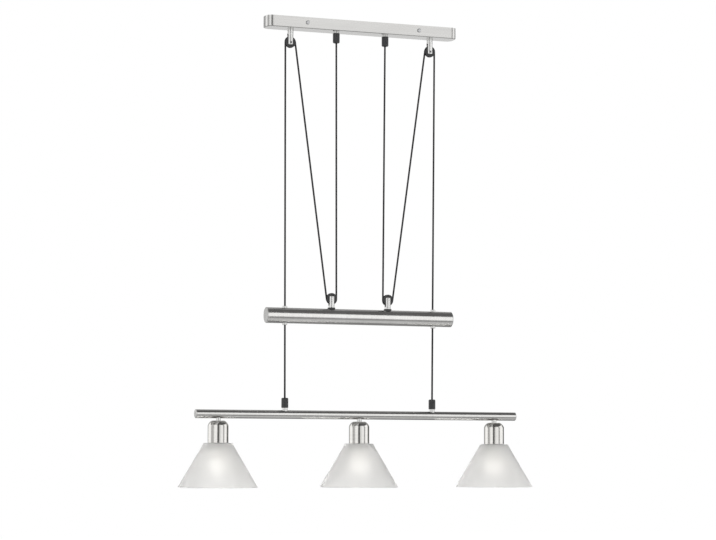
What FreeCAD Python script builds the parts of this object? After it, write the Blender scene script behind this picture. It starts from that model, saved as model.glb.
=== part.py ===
"""Rise and fall pendant: three glass shades on a bar, hung from two cords over pulleys,
balanced by a long round counterweight that travels half as far as the lamp.

Millimetres. The origin is the middle of the ceiling plate, on the ceiling's face. +Z is up, so
everything is below zero. X runs along the bar and the counterweight, and the two long walls of the
canopy face +Y and -Y. The rest position is the one that the lamp is mostly used at.
"""

import FreeCAD, Part
import math
import os

from FreeCAD import Vector

# ---- driving dimensions -------------------------------------------------------------------------

# canopy, a sheet metal tray against the ceiling
canopy_length = 450.0
canopy_depth = 42.0
canopy_height = 25.0
canopy_wall = 1.2
canopy_corner_radius = 15.0
canopy_edge_radius = 2.0

# bracket that the tray is screwed to
bracket_thickness = 1.5
bracket_corner_radius = 6.0
bracket_tab_width = 24.0
bracket_tab_drop = 18.0
ceiling_slot_spacing = 120.0
ceiling_slot_width = 5.0
ceiling_slot_length = 16.0
cable_hole_diameter = 14.0
side_screw_spacing = 264.0
side_screw_drop = 12.0
side_screw_diameter = 4.0
side_screw_head_diameter = 8.5
side_screw_head_height = 2.6
side_screw_past_tab = 1.0
driver_slot_width = 1.0
driver_slot_depth = 1.0

# connector under the bracket
terminal_length = 30.0
terminal_depth = 18.0
terminal_height = 12.0
terminal_poles = 3
terminal_pole_gap = 1.0
terminal_wire_drop = 8.4
terminal_screw_diameter = 3.2

# slotted posts that hold the pulleys; a root is the solid length below the slot, a room is the
# free way between the cord on its wheel and the floor of the slot
fork_diameter = 13.5
canopy_fork_root = 11.0
canopy_fork_room = 6.1
counterweight_fork_root = 4.0
counterweight_fork_room = 3.1
fork_spigot_diameter = 8.0
thread_past_nut = 1.0
axle_inset = 5.0
axle_diameter = 3.0
axle_head_diameter = 4.6
axle_head_height = 0.6
fork_nut_flats = 13.0
fork_nut_height = 5.0

# grooved wheels
pulley_pitch_radius = 11.4
pulley_rim_proud = 0.3
pulley_lip = 0.8
pulley_hub_step = 0.25
pulley_hub_wall = 2.5
pulley_web_step = 0.9
pulley_rim_depth = 1.1

# cords and the grips that hold them
cord_diameter = 4.0
cord_bend_radius = 8.0
grip_diameter = 15.2
grip_height = 21.8
grip_mouth_radius = 2.5
grip_screw_diameter = 4.0
grip_screw_inset = 6.5
grip_screw_recess = 1.0
nipple_diameter = 12.4
nipple_thread_diameter = 9.6
nipple_thread_in_grip = 9.0
canopy_nipple_height = 3.0
bar_nipple_height = 5.0
grip_nut_flats = 13.0
grip_nut_height = 4.0

# where the posts and grips are
canopy_pulley_inset = 59.5
canopy_grip_x = 58.0
counterweight_pulley_x = 66.2
outer_cord_lean = 4.3
guide_share = 0.4

# counterweight
counterweight_drop = 659.0
counterweight_diameter = 34.4
counterweight_length = 435.0
counterweight_wall = 1.5
counterweight_cap_thickness = 3.0
counterweight_cap_spigot = 8.0
core_hole_depth = 13.0
washer_diameter = 17.0
washer_height = 2.5
guide_play = 1.5
guide_wall = 1.0
guide_flange_width = 1.0
guide_flange_height = 3.6
guide_spigot_length = 7.0

# lamp bar
bar_below_counterweight = 216.0
bar_diameter = 19.0
bar_length = 750.0
bar_wall = 1.2
bar_cap_height = 3.0
bar_cap_spigot = 9.0
lead_diameter = 2.6
lead_bend_radius = 6.0

# the three light points
lamp_inset = 52.0
stem_diameter = 11.0
stem_height = 5.0
stem_thread_diameter = 9.6
stem_bore_diameter = 3.2
cup_diameter = 45.2
cup_height = 47.7
cup_wall = 1.0
cup_flat_diameter = 28.0
cup_shoulder_height = 11.0
cup_shoulder_bulge = 0.62
holder_boss_diameter = 16.0
holder_boss_height = 5.5
holder_play = 2.6
holder_thread_height = 0.75
holder_below_cup = 14.0
ring_wall = 6.0
ring_height = 10.0
ring_groove_count = 24
ring_groove_radius = 1.3
shade_height = 95.5
shade_rim_diameter = 173.0
shade_neck_diameter = 65.0
shade_shoulder = 3.5
shade_thickness = 3.0
shade_rim_radius = 1.05
bulb_diameter = 45.0
bulb_length = 56.2
bulb_neck_angle = 40.0
bulb_cap_diameter = 26.0
bulb_cap_height = 23.0
bulb_wall = 1.0
bulb_cap_wall = 0.5

# clearances
seat_gap = 0.3
body_gap = 0.3
slide_gap = 0.2
pin_gap = 0.04
wheel_side_gap = 0.25
cap_thread_gap = 0.8
cap_end_gap = 0.7
shade_hole_gap = 0.75

# how far a cutting form reaches past the face that it opens
past = 1.0
# where the middle of a quarter circle lies, as a share of its radius from the square corner
quarter_bulge = 1 - math.sqrt(0.5)

SIDES = {"left": -1, "right": 1}
LAMPS = {"left": -1, "middle": 0, "right": 1}

# ---- levels and places that follow from the sizes -----------------------------------------------

canopy_floor = -canopy_height
canopy_floor_inside = canopy_floor + canopy_wall
half_depth = canopy_depth / 2
cord_radius = cord_diameter / 2
cord_hole_radius = cord_radius + body_gap

pulley_rim_radius = pulley_pitch_radius + pulley_rim_proud
pulley_rim_width = 2 * (cord_hole_radius + pulley_lip)
pulley_hub_width = pulley_rim_width + 2 * pulley_hub_step
pulley_web_width = pulley_rim_width - 2 * pulley_web_step
pulley_web_radius = pulley_pitch_radius - cord_hole_radius - pulley_rim_depth
pulley_hub_radius = axle_diameter / 2 + pulley_hub_wall

fork_radius = fork_diameter / 2
fork_slot_width = pulley_hub_width + 2 * wheel_side_gap
wheel_reach = pulley_pitch_radius + cord_radius
canopy_slot_depth = axle_inset + wheel_reach + canopy_fork_room
counterweight_slot_depth = axle_inset + wheel_reach + counterweight_fork_room
canopy_fork_height = canopy_slot_depth + canopy_fork_root
counterweight_fork_height = counterweight_slot_depth + counterweight_fork_root

canopy_pulley_x = canopy_length / 2 - canopy_pulley_inset
bar_grip_x = canopy_pulley_x + pulley_pitch_radius - outer_cord_lean
canopy_axle_z = canopy_floor - canopy_fork_height + axle_inset
canopy_grip_top = canopy_floor - canopy_nipple_height

counterweight_z = -counterweight_drop
counterweight_radius = counterweight_diameter / 2
counterweight_top = counterweight_z + counterweight_radius
counterweight_fork_base = counterweight_top + washer_height
counterweight_fork_top = counterweight_fork_base + counterweight_fork_height
counterweight_axle_z = counterweight_fork_top - axle_inset
core_radius = counterweight_radius - counterweight_wall - slide_gap
guide_bore_diameter = cord_diameter + 2 * guide_play
guide_spigot_diameter = guide_bore_diameter + 2 * guide_wall
guide_flange_diameter = guide_spigot_diameter + 2 * guide_flange_width

bar_z = counterweight_z - bar_below_counterweight
bar_radius = bar_diameter / 2
bar_inside_radius = bar_radius - bar_wall
bar_grip_bottom = bar_z + bar_radius + bar_nipple_height
bar_grip_top = bar_grip_bottom + grip_height

lamp_spacing = bar_length / 2 - lamp_inset
cup_top = bar_z - bar_radius - stem_height
cup_bottom = cup_top - cup_height
holder_bottom = cup_bottom - holder_below_cup
holder_diameter = cup_diameter - 2 * (cup_wall + holder_play)
holder_skirt_diameter = holder_diameter + 2 * holder_thread_height
holder_bore_diameter = bulb_cap_diameter + 2 * cap_thread_gap
glass_top = cup_bottom - seat_gap
glass_rim = glass_top - shade_height
shade_hole_diameter = holder_skirt_diameter + 2 * shade_hole_gap
shade_flat_diameter = shade_neck_diameter - 2 * shade_shoulder
bulb_cap_bottom = holder_bottom - seat_gap
bulb_cap_top = bulb_cap_bottom + bulb_cap_height
bulb_centre = bulb_cap_bottom - bulb_length + bulb_diameter / 2

connector_cord_z = -bracket_thickness - terminal_wire_drop
cord_end_z = bar_z + bar_inside_radius / 2

X_AXIS = Vector(1, 0, 0)
Y_AXIS = Vector(0, 1, 0)
Z_AXIS = Vector(0, 0, 1)


# ---- drawing helpers ----------------------------------------------------------------------------

def rod(diameter, start, end):
    """Round bar between two points."""
    along = end - start
    return Part.makeCylinder(diameter / 2, along.Length, start, along)


def upright(diameter, x, bottom, top, y=0.0):
    """Round bar along Z."""
    return rod(diameter, Vector(x, y, bottom), Vector(x, y, top))


def block(x_size, y_size, bottom, top, x=0.0, y=0.0):
    """Box centred on (x, y)."""
    corner = Vector(x - x_size / 2, y - y_size / 2, bottom)
    return Part.makeBox(x_size, y_size, top - bottom, corner)


def hexagon(flats, x, bottom, top):
    """Hexagon nut blank."""
    corner_radius = flats / 2 / math.cos(math.radians(30))
    corners = [
        Vector(
            x + corner_radius * math.cos(math.radians(60 * i)),
            corner_radius * math.sin(math.radians(60 * i)),
            bottom,
        )
        for i in range(6)
    ]
    edge = Part.makePolygon(corners + corners[:1])
    return Part.Face(edge).extrude(Vector(0, 0, top - bottom))


def outline(place, start, *steps):
    """Closed wire through 2D points. A step is a point, or (middle point, end point) of an arc.

    place turns a 2D point into its place in space."""
    edges = []
    here = start
    for step in list(steps) + [start]:
        if isinstance(step[0], tuple):
            middle, end = step
            edges.append(Part.Arc(place(here), place(middle), place(end)).toShape())
        else:
            end = step
            edges.append(Part.LineSegment(place(here), place(end)).toShape())
        here = end
    return Part.Wire(edges)


def turned(x, start, *steps):
    """Solid of revolution about the upright line through x. Its points are (radius, z)."""
    wire = outline(lambda p: Vector(x + p[0], 0, p[1]), start, *steps)
    return Part.Face(wire).revolve(Vector(x, 0, 0), Z_AXIS, 360)


def turned_on_pin(x, z, start, *steps):
    """Solid of revolution about a line along Y. Its points are (radius, y)."""
    wire = outline(lambda p: Vector(x + p[0], p[1], z), start, *steps)
    return Part.Face(wire).revolve(Vector(x, 0, z), Y_AXIS, 360)


def turned_on_bar(z, start, *steps):
    """Solid of revolution about a line along X. Its points are (x, radius)."""
    wire = outline(lambda p: Vector(p[0], 0, z + p[1]), start, *steps)
    return Part.Face(wire).revolve(Vector(0, 0, z), X_AXIS, 360)


def on_arc(centre, radius, degrees):
    """2D point of a circle, counted from its first axis."""
    angle = math.radians(degrees)
    return (centre[0] + radius * math.cos(angle), centre[1] + radius * math.sin(angle))


def tray(length, depth, top, bottom, corner_radius, edge_radius):
    """Block with rounded upright corners and a rounded bottom edge."""
    body = block(length, depth, bottom, top)
    corner_radius = min(corner_radius, 0.45 * depth)
    upright_edges = [
        e for e in body.Edges if abs(e.Vertexes[0].Z - e.Vertexes[1].Z) > (top - bottom) / 2
    ]
    body = body.makeFillet(corner_radius, upright_edges)
    bottom_edges = [e for e in body.Edges if e.BoundBox.ZMax < bottom + 0.001]
    return body.makeFillet(edge_radius, bottom_edges)


def mirrored(shape):
    """The same piece on the other side of the middle."""
    return shape.mirror(Vector(0, 0, 0), X_AXIS)


def put_on_side(shape, side):
    """A piece drawn on the right, on the side that is asked for."""
    return shape if side > 0 else mirrored(shape)


def group(shapes):
    """Separate solids in one node."""
    return Part.makeCompound(shapes)


def on_both_sides(shape):
    return group([mirrored(shape), shape])


def tube_along(edges, diameter):
    """Round tube along joined straight runs and tangent arcs."""
    path = Part.Wire(edges)
    start = edges[0].valueAt(edges[0].FirstParameter)
    heading = edges[0].tangentAt(edges[0].FirstParameter)
    section = Part.Wire(Part.makeCircle(diameter / 2, start, heading))
    shell = Part.BRepOffsetAPI.MakePipeShell(path)
    shell.add(section)
    shell.build()
    shell.makeSolid()
    return shell.shape()


# ---- canopy -------------------------------------------------------------------------------------

def ceiling_bracket():
    tab_face = half_depth - canopy_wall - body_gap
    length = side_screw_spacing + bracket_tab_width + 2 * bracket_corner_radius
    plate = block(length, 2 * tab_face, -bracket_thickness, 0)
    end_edges = [
        e for e in plate.Edges if abs(e.Vertexes[0].Z - e.Vertexes[1].Z) > bracket_thickness / 2
    ]
    plate = plate.makeFillet(bracket_corner_radius, end_edges)
    for side in SIDES.values():
        x = side * side_screw_spacing / 2
        for face in (-1, 1):
            tab = block(
                bracket_tab_width,
                bracket_thickness,
                -bracket_tab_drop,
                -bracket_thickness / 2,
                x,
                face * (tab_face - bracket_thickness / 2),
            )
            corner_edges = [
                e
                for e in tab.Edges
                if abs(e.Vertexes[0].Y - e.Vertexes[1].Y) > bracket_thickness / 2
                and e.BoundBox.ZMax < -bracket_tab_drop + 0.001
            ]
            plate = plate.fuse(tab.makeFillet(bracket_tab_width / 6, corner_edges))
        hole_start = Vector(x, -half_depth, -side_screw_drop)
        hole_end = Vector(x, half_depth, -side_screw_drop)
        plate = plate.cut(rod(side_screw_diameter + 2 * pin_gap, hole_start, hole_end))
        slot_x = side * ceiling_slot_spacing / 2
        straight = ceiling_slot_length - ceiling_slot_width
        slot = block(straight, ceiling_slot_width, -2 * bracket_thickness, bracket_thickness, slot_x)
        for end in (-1, 1):
            end_x = slot_x + end * straight / 2
            slot = slot.fuse(
                upright(ceiling_slot_width, end_x, -2 * bracket_thickness, bracket_thickness)
            )
        plate = plate.cut(slot)
    cable_x = ceiling_slot_spacing / 4
    plate = plate.cut(
        upright(cable_hole_diameter, cable_x, -2 * bracket_thickness, bracket_thickness)
    )
    return plate.removeSplitter()


def canopy_cover():
    outside = tray(
        canopy_length,
        canopy_depth,
        0,
        canopy_floor,
        canopy_corner_radius,
        canopy_edge_radius,
    )
    inside = tray(
        canopy_length - 2 * canopy_wall,
        canopy_depth - 2 * canopy_wall,
        canopy_wall,
        canopy_floor_inside,
        canopy_corner_radius - canopy_wall,
        max(canopy_edge_radius - canopy_wall, canopy_edge_radius / 4),
    )
    shell = outside.cut(inside)
    for side in SIDES.values():
        for x, diameter in (
            (side * canopy_pulley_x, fork_spigot_diameter),
            (side * canopy_grip_x, nipple_thread_diameter),
        ):
            bore = diameter + 2 * slide_gap
            hole = upright(bore, x, canopy_floor - past, canopy_floor_inside + past)
            shell = shell.cut(hole)
        x = side * side_screw_spacing / 2
        hole_start = Vector(x, -canopy_depth, -side_screw_drop)
        hole_end = Vector(x, canopy_depth, -side_screw_drop)
        shell = shell.cut(rod(side_screw_diameter + 2 * slide_gap, hole_start, hole_end))
    return shell


def canopy_screw(x, face):
    """Round-headed screw through a long wall into the bracket's tab. face is +1 or -1 along Y."""
    wall_face = half_depth
    head_edge = side_screw_head_height / 2
    inner_end = half_depth - canopy_wall - body_gap - bracket_thickness - side_screw_past_tab
    radius = side_screw_head_diameter / 2
    head_top = wall_face + side_screw_head_height
    shank = side_screw_diameter / 2
    screw = turned_on_pin(
        x,
        -side_screw_drop,
        (0, inner_end),
        (shank, inner_end),
        (shank, wall_face),
        (radius, wall_face),
        (radius, wall_face + head_edge),
        (
            (radius - head_edge * quarter_bulge, head_top - head_edge * quarter_bulge),
            (radius - head_edge, head_top),
        ),
        (0, head_top),
    )
    slot = Part.makeBox(
        side_screw_head_diameter,
        driver_slot_depth + past,
        driver_slot_width,
        Vector(
            x - side_screw_head_diameter / 2,
            head_top - driver_slot_depth,
            -side_screw_drop - driver_slot_width / 2,
        ),
    )
    screw = screw.cut(slot)
    if face < 0:
        screw = screw.mirror(Vector(0, 0, 0), Y_AXIS)
    return screw


def canopy_screws():
    return group(
        [
            canopy_screw(side * side_screw_spacing / 2, face)
            for side in SIDES.values()
            for face in (-1, 1)
        ]
    )


def terminal_pole_places():
    pitch = terminal_depth / terminal_poles
    for i in range(terminal_poles):
        y = (i - (terminal_poles - 1) / 2) * pitch
        for end in (-1, 1):
            yield end * terminal_length / 4, y


def terminal_block():
    """Connector with a row of poles across Y, and a wire mouth at each end of a pole."""
    top = -bracket_thickness
    bottom = top - terminal_height
    step = terminal_height / 4
    body = block(terminal_length, terminal_depth, bottom + step, top)
    for x, y in terminal_pole_places():
        tower = terminal_depth / terminal_poles - terminal_pole_gap
        body = body.fuse(upright(tower, x, bottom, top - step, y))
        body = body.cut(
            upright(terminal_screw_diameter + 2 * slide_gap, x, bottom - past, top - 2 * step, y)
        )
    return body.removeSplitter()


def terminal_screws():
    top = -bracket_thickness
    bottom = top - terminal_height
    step = terminal_height / 4
    screws = []
    for x, y in terminal_pole_places():
        screws.append(
            upright(terminal_screw_diameter, x, bottom + step / 2, top - 2 * step, y)
        )
    return group(screws)


# ---- forks, pulleys and axles -------------------------------------------------------------------

def fork(x, base, height, slot_depth, spigot_length, up):
    """Slotted round post with a threaded spigot. up is +1 for a post that stands, -1 for one that
    hangs. The slot is open along X, at the end away from the base."""
    end = base + up * height
    edge = fork_slot_width / 8
    neck = fork_spigot_diameter / 2
    post = turned(
        x,
        (0, base - up * spigot_length),
        (neck, base - up * spigot_length),
        (neck, base),
        (fork_radius, base),
        (fork_radius, end - up * edge),
        (fork_radius - edge, end),
        (0, end),
    )
    floor = end - up * slot_depth
    round_floor = floor + up * fork_slot_width / 2
    low, high = sorted((round_floor, end + up))
    slot = block(2 * fork_diameter, fork_slot_width, low, high, x)
    slot = slot.fuse(
        rod(fork_slot_width, Vector(x - fork_diameter, 0, round_floor),
            Vector(x + fork_diameter, 0, round_floor))
    )
    post = post.cut(slot)
    axle_z = end - up * axle_inset
    pin_hole = rod(
        axle_diameter + 2 * pin_gap,
        Vector(x, -fork_diameter, axle_z),
        Vector(x, fork_diameter, axle_z),
    )
    return post.cut(pin_hole)


def axle(x, z):
    """Pin across the fork with a low domed head at each side."""
    radius = axle_diameter / 2
    head = axle_head_diameter / 2
    seat = math.sqrt(fork_radius**2 - head**2)
    face = fork_radius + axle_head_height
    pin = turned_on_pin(
        x,
        z,
        (0, -face),
        (head - axle_head_height, -face),
        (head, -face + axle_head_height),
        (head, -seat),
        (radius, -seat),
        (radius, seat),
        (head, seat),
        (head, face - axle_head_height),
        (head - axle_head_height, face),
        (0, face),
    )
    around = upright(fork_diameter + 2 * pin_gap, x, z - fork_diameter, z + fork_diameter)
    pin_core = rod(axle_diameter, Vector(x, -seat, z), Vector(x, seat, z))
    return pin.cut(around).fuse(pin_core.common(around)).fuse(
        rod(axle_diameter, Vector(x, -face + axle_head_height / 2, z),
            Vector(x, face - axle_head_height / 2, z))
    ).removeSplitter()


def pulley(x, z):
    """Wheel with a round groove that takes the cord, a hub that runs on the pin and a thinner web."""
    bore = axle_diameter / 2 + pin_gap
    groove_radius = cord_radius + body_gap
    half_rim = pulley_rim_width / 2
    half_hub = pulley_hub_width / 2
    half_web = pulley_web_width / 2
    reach = pulley_rim_radius - pulley_pitch_radius
    lip = math.sqrt(groove_radius**2 - reach**2)
    return turned_on_pin(
        x,
        z,
        (bore, -half_hub),
        (pulley_hub_radius, -half_hub),
        (pulley_hub_radius, -half_web),
        (pulley_web_radius, -half_web),
        (pulley_web_radius, -half_rim),
        (pulley_rim_radius, -half_rim),
        (pulley_rim_radius, -lip),
        ((pulley_pitch_radius - groove_radius, 0), (pulley_rim_radius, lip)),
        (pulley_rim_radius, half_rim),
        (pulley_web_radius, half_rim),
        (pulley_web_radius, half_web),
        (pulley_hub_radius, half_web),
        (pulley_hub_radius, half_hub),
        (bore, half_hub),
    )


def canopy_fork(side):
    return fork(
        side * canopy_pulley_x,
        canopy_floor,
        canopy_fork_height,
        canopy_slot_depth,
        canopy_wall + fork_nut_height + thread_past_nut,
        -1,
    )


def counterweight_fork(side):
    return fork(
        side * counterweight_pulley_x,
        counterweight_fork_base,
        counterweight_fork_height,
        counterweight_slot_depth,
        washer_height + core_hole_depth,
        1,
    )


def fork_nut(x):
    nut = hexagon(fork_nut_flats, x, canopy_floor_inside, canopy_floor_inside + fork_nut_height)
    bore = fork_spigot_diameter + 2 * pin_gap
    return nut.cut(upright(bore, x, canopy_floor, 0))


# ---- cord grips ---------------------------------------------------------------------------------

def grip_parts(x, mount_level, nipple_height, up, thread_below):
    """Collar, grip and clamping screw in a row along Z, starting at mount_level.

    up is +1 for a grip that stands on its nipple and -1 for one that hangs. thread_below is how far
    the nipple's thread reaches past mount_level into what carries it."""
    seat = mount_level + up * nipple_height
    mouth = seat + up * grip_height
    bore = cord_hole_radius
    thread = nipple_thread_diameter / 2
    collar = nipple_diameter / 2
    thread_end = seat + up * nipple_thread_in_grip
    nipple = turned(
        x,
        (bore, mount_level - up * thread_below),
        (thread, mount_level - up * thread_below),
        (thread, mount_level),
        (collar, mount_level),
        (collar, seat),
        (thread, seat),
        (thread, thread_end),
        (bore, thread_end),
    )
    outer = grip_diameter / 2
    foot = grip_mouth_radius / 4
    shoulder = (outer - grip_mouth_radius, mouth - up * grip_mouth_radius)
    grip = turned(
        x,
        (thread + pin_gap, seat),
        (outer - foot, seat),
        (outer, seat + up * foot),
        (outer, mouth - up * grip_mouth_radius),
        (
            on_arc(shoulder, grip_mouth_radius, up * 45),
            (outer - grip_mouth_radius, mouth),
        ),
        (bore, mouth),
        (bore, thread_end + up * slide_gap),
        (thread + pin_gap, thread_end + up * slide_gap),
    )
    screw_z = mouth - up * grip_screw_inset
    hole_end = Vector(x, -grip_diameter, screw_z)
    grip = grip.cut(
        rod(grip_screw_diameter + 2 * pin_gap, Vector(x, 0, screw_z), hole_end)
    )
    screw_start = -(cord_radius + body_gap + slide_gap)
    screw_face = -(outer - grip_screw_recess)
    screw = rod(
        grip_screw_diameter, Vector(x, screw_start, screw_z), Vector(x, screw_face, screw_z)
    )
    screw = screw.cut(
        Part.makeBox(
            2 * grip_screw_diameter,
            driver_slot_depth + past,
            driver_slot_width,
            Vector(
                x - grip_screw_diameter,
                screw_face - past,
                screw_z - driver_slot_width / 2,
            ),
        )
    )
    return nipple, grip, screw


def canopy_grip_parts(side):
    thread = canopy_wall + grip_nut_height + thread_past_nut
    return grip_parts(side * canopy_grip_x, canopy_floor, canopy_nipple_height, -1, thread)


def bar_grip_parts(side):
    """The collar's underside is hollowed to sit on the round bar."""
    top = bar_z + bar_radius
    nipple, grip, screw = grip_parts(side * bar_grip_x, top, bar_nipple_height, 1, bar_wall)
    sag = bar_radius - math.sqrt(bar_radius**2 - (nipple_diameter / 2) ** 2)
    skirt = upright(nipple_diameter, side * bar_grip_x, top - sag - past, top + past)
    skirt = skirt.cut(
        upright(nipple_thread_diameter, side * bar_grip_x, top - 2 * bar_radius, top + bar_radius)
    )
    along = bar_grip_x + nipple_diameter
    bar_space = rod(bar_diameter, Vector(-along, 0, bar_z), Vector(along, 0, bar_z))
    nipple = nipple.fuse(skirt.cut(bar_space)).removeSplitter()
    return nipple, grip, screw


def grip_nut(x):
    nut = hexagon(grip_nut_flats, x, canopy_floor_inside, canopy_floor_inside + grip_nut_height)
    bore = nipple_thread_diameter + 2 * pin_gap
    return nut.cut(upright(bore, x, canopy_floor, 0))


# ---- cords --------------------------------------------------------------------------------------

def tangent_angle(centre, point, turn):
    """Angle, seen from centre, of the place where a line from point touches the pitch circle.

    Points are (x, z). turn is +1 for the touching place that lies anticlockwise of the line from
    centre to point, -1 for the other."""
    along_x = point[0] - centre[0]
    along_z = point[1] - centre[1]
    distance = math.hypot(along_x, along_z)
    return math.atan2(along_z, along_x) + turn * math.acos(pulley_pitch_radius / distance)


def on_pitch(centre, angle):
    return (
        centre[0] + pulley_pitch_radius * math.cos(angle),
        centre[1] + pulley_pitch_radius * math.sin(angle),
    )


def cord_edges():
    """The right cord's line: up from the bar over the canopy's pulley, slanting down under the
    counterweight's pulley, up through the canopy's grip and along the inside of the canopy."""
    upper = (canopy_pulley_x, canopy_axle_z)
    lower = (counterweight_pulley_x, counterweight_axle_z)
    bar_end = (bar_grip_x, cord_end_z)
    corner = (canopy_grip_x, connector_cord_z)
    connector_end = (terminal_length / 2, connector_cord_z)

    outer_angle = tangent_angle(upper, bar_end, 1)
    apart = math.hypot(upper[0] - lower[0], upper[1] - lower[1])
    between = math.atan2(lower[1] - upper[1], lower[0] - upper[0])
    crossing = math.acos(2 * pulley_pitch_radius / apart)
    slant_start = between - crossing
    slant_end = between + math.pi - crossing
    inner_angle = tangent_angle(lower, corner, 1)

    over_start = on_pitch(upper, outer_angle)
    over_end = on_pitch(upper, slant_start)
    under_start = on_pitch(lower, slant_end)
    under_end = on_pitch(lower, inner_angle)
    over_top = on_pitch(upper, math.pi / 2)
    under_bottom = on_pitch(lower, -math.pi / 2)

    def in_space(p):
        return Vector(p[0], 0, p[1])

    rise = in_space(corner) - in_space(under_end)
    heading = rise.normalize()
    run = in_space(connector_end) - in_space(corner)
    away = run.normalize()
    turn = heading.getAngle(away)
    setback = cord_bend_radius * math.tan(turn / 2)
    bend_start = in_space(corner) - heading * setback
    bend_end = in_space(corner) + away * setback
    inward = (away - heading).normalize()
    bend_centre = in_space(corner) + inward * (cord_bend_radius / math.cos(turn / 2))
    bend_middle = bend_centre - inward * cord_bend_radius

    def line(a, b):
        return Part.LineSegment(a, b).toShape()

    def arc(a, b, c):
        return Part.Arc(a, b, c).toShape()

    return [
        line(in_space(bar_end), in_space(over_start)),
        arc(in_space(over_start), in_space(over_top), in_space(over_end)),
        line(in_space(over_end), in_space(under_start)),
        arc(in_space(under_start), in_space(under_bottom), in_space(under_end)),
        line(in_space(under_end), bend_start),
        arc(bend_start, bend_middle, bend_end),
        line(bend_end, in_space(connector_end)),
    ]


def cord(side):
    edges = cord_edges()
    tube = tube_along(edges, cord_diameter)
    length = sum(e.Length for e in edges)
    wanted = math.pi * cord_radius**2 * length
    if side > 0:
        radii = [e.Curve.Radius for e in edges if hasattr(e.Curve, "Radius")]
        print("cord length %.1f, volume / (section x length) %.5f" % (length, tube.Volume / wanted))
        print("cord arc radii", ["%.1f" % r for r in radii])
    return put_on_side(tube, side)


# ---- counterweight ------------------------------------------------------------------------------

def guide_x():
    """The outer cord leans a little, and the counterweight slides along it, so the guide holes lie
    between the places where the cord passes at both ends of the travel."""
    cord_top = canopy_pulley_x + pulley_pitch_radius
    return bar_grip_x + guide_share * (cord_top - bar_grip_x)


def counterweight_tube():
    half = counterweight_length / 2 - counterweight_cap_thickness
    start = Vector(-half, 0, counterweight_z)
    end = Vector(half, 0, counterweight_z)
    tube = rod(counterweight_diameter, start, end).cut(
        rod(counterweight_diameter - 2 * counterweight_wall, start, end)
    )
    low = counterweight_z - counterweight_diameter
    high = counterweight_z + counterweight_diameter
    for side in SIDES.values():
        tube = tube.cut(
            upright(
                fork_spigot_diameter + 2 * slide_gap,
                side * counterweight_pulley_x,
                counterweight_z,
                high,
            )
        )
        tube = tube.cut(upright(guide_spigot_diameter + 2 * pin_gap, side * guide_x(), low, high))
    return tube


def counterweight_core():
    half = counterweight_length / 2 - counterweight_cap_thickness - counterweight_cap_spigot
    half = half - seat_gap
    core = rod(
        2 * core_radius, Vector(-half, 0, counterweight_z), Vector(half, 0, counterweight_z)
    )
    low = counterweight_z - counterweight_diameter
    high = counterweight_z + counterweight_diameter
    hole_floor = counterweight_top - core_hole_depth - seat_gap
    for side in SIDES.values():
        core = core.cut(
            upright(
                fork_spigot_diameter + 2 * pin_gap,
                side * counterweight_pulley_x,
                hole_floor,
                high,
            )
        )
        core = core.cut(upright(guide_spigot_diameter + 2 * pin_gap, side * guide_x(), low, high))
    return core


def counterweight_cap(side):
    """Flat disc with a chamfered edge and a spigot that plugs the tube."""
    outer = counterweight_radius
    face = counterweight_length / 2
    back = face - counterweight_cap_thickness
    edge = counterweight_cap_thickness / 4
    spigot = counterweight_radius - counterweight_wall - slide_gap
    cap = turned_on_bar(
        counterweight_z,
        (back - counterweight_cap_spigot, 0),
        (back - counterweight_cap_spigot, spigot),
        (back, spigot),
        (back, outer),
        (face - edge, outer),
        (face, outer - edge),
        (face, 0),
    )
    return put_on_side(cap, side)


def fork_washer(x):
    """Collar whose underside is hollowed to sit on the round tube."""
    radius = washer_diameter / 2
    sag = counterweight_radius - math.sqrt(counterweight_radius**2 - radius**2)
    washer = upright(washer_diameter, x, counterweight_top - sag, counterweight_fork_base)
    rim = [e for e in washer.Edges if e.BoundBox.ZMin > counterweight_fork_base - 0.001]
    washer = washer.makeFillet(washer_height / 4, rim)
    tube_space = rod(
        counterweight_diameter,
        Vector(x - washer_diameter, 0, counterweight_z),
        Vector(x + washer_diameter, 0, counterweight_z),
    )
    bore = upright(
        fork_spigot_diameter + 2 * pin_gap, x, counterweight_z, counterweight_fork_top
    )
    return washer.cut(tube_space).cut(bore)


def guide_bush(up):
    """Flanged bush in the right guide hole. up is +1 on top of the tube and -1 under it."""
    x = guide_x()
    bore = guide_bore_diameter / 2
    flange = guide_flange_diameter / 2
    spigot = guide_spigot_diameter / 2
    tube_level = counterweight_z + up * counterweight_radius
    sag = counterweight_radius - math.sqrt(counterweight_radius**2 - flange**2)
    seat = tube_level - up * sag
    face = tube_level + up * guide_flange_height
    inner_end = seat - up * guide_spigot_length
    lip = (flange - bore) / 3
    bush = turned(
        x,
        (bore, inner_end),
        (spigot, inner_end),
        (spigot, seat),
        (flange, seat),
        (flange, face - up * lip),
        (
            on_arc((flange - lip, face - up * lip), lip, up * 45),
            (flange - lip, face),
        ),
        (bore + lip, face),
        (
            on_arc((bore + lip, face - up * lip), lip, up * 135),
            (bore, face - up * lip),
        ),
    )
    plug = upright(guide_spigot_diameter, x, counterweight_z - counterweight_diameter,
                   counterweight_z + counterweight_diameter)
    tube_space = rod(
        counterweight_diameter,
        Vector(x - guide_flange_diameter, 0, counterweight_z),
        Vector(x + guide_flange_diameter, 0, counterweight_z),
    ).cut(plug)
    return bush.cut(tube_space)


# ---- lamp bar -----------------------------------------------------------------------------------

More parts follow.
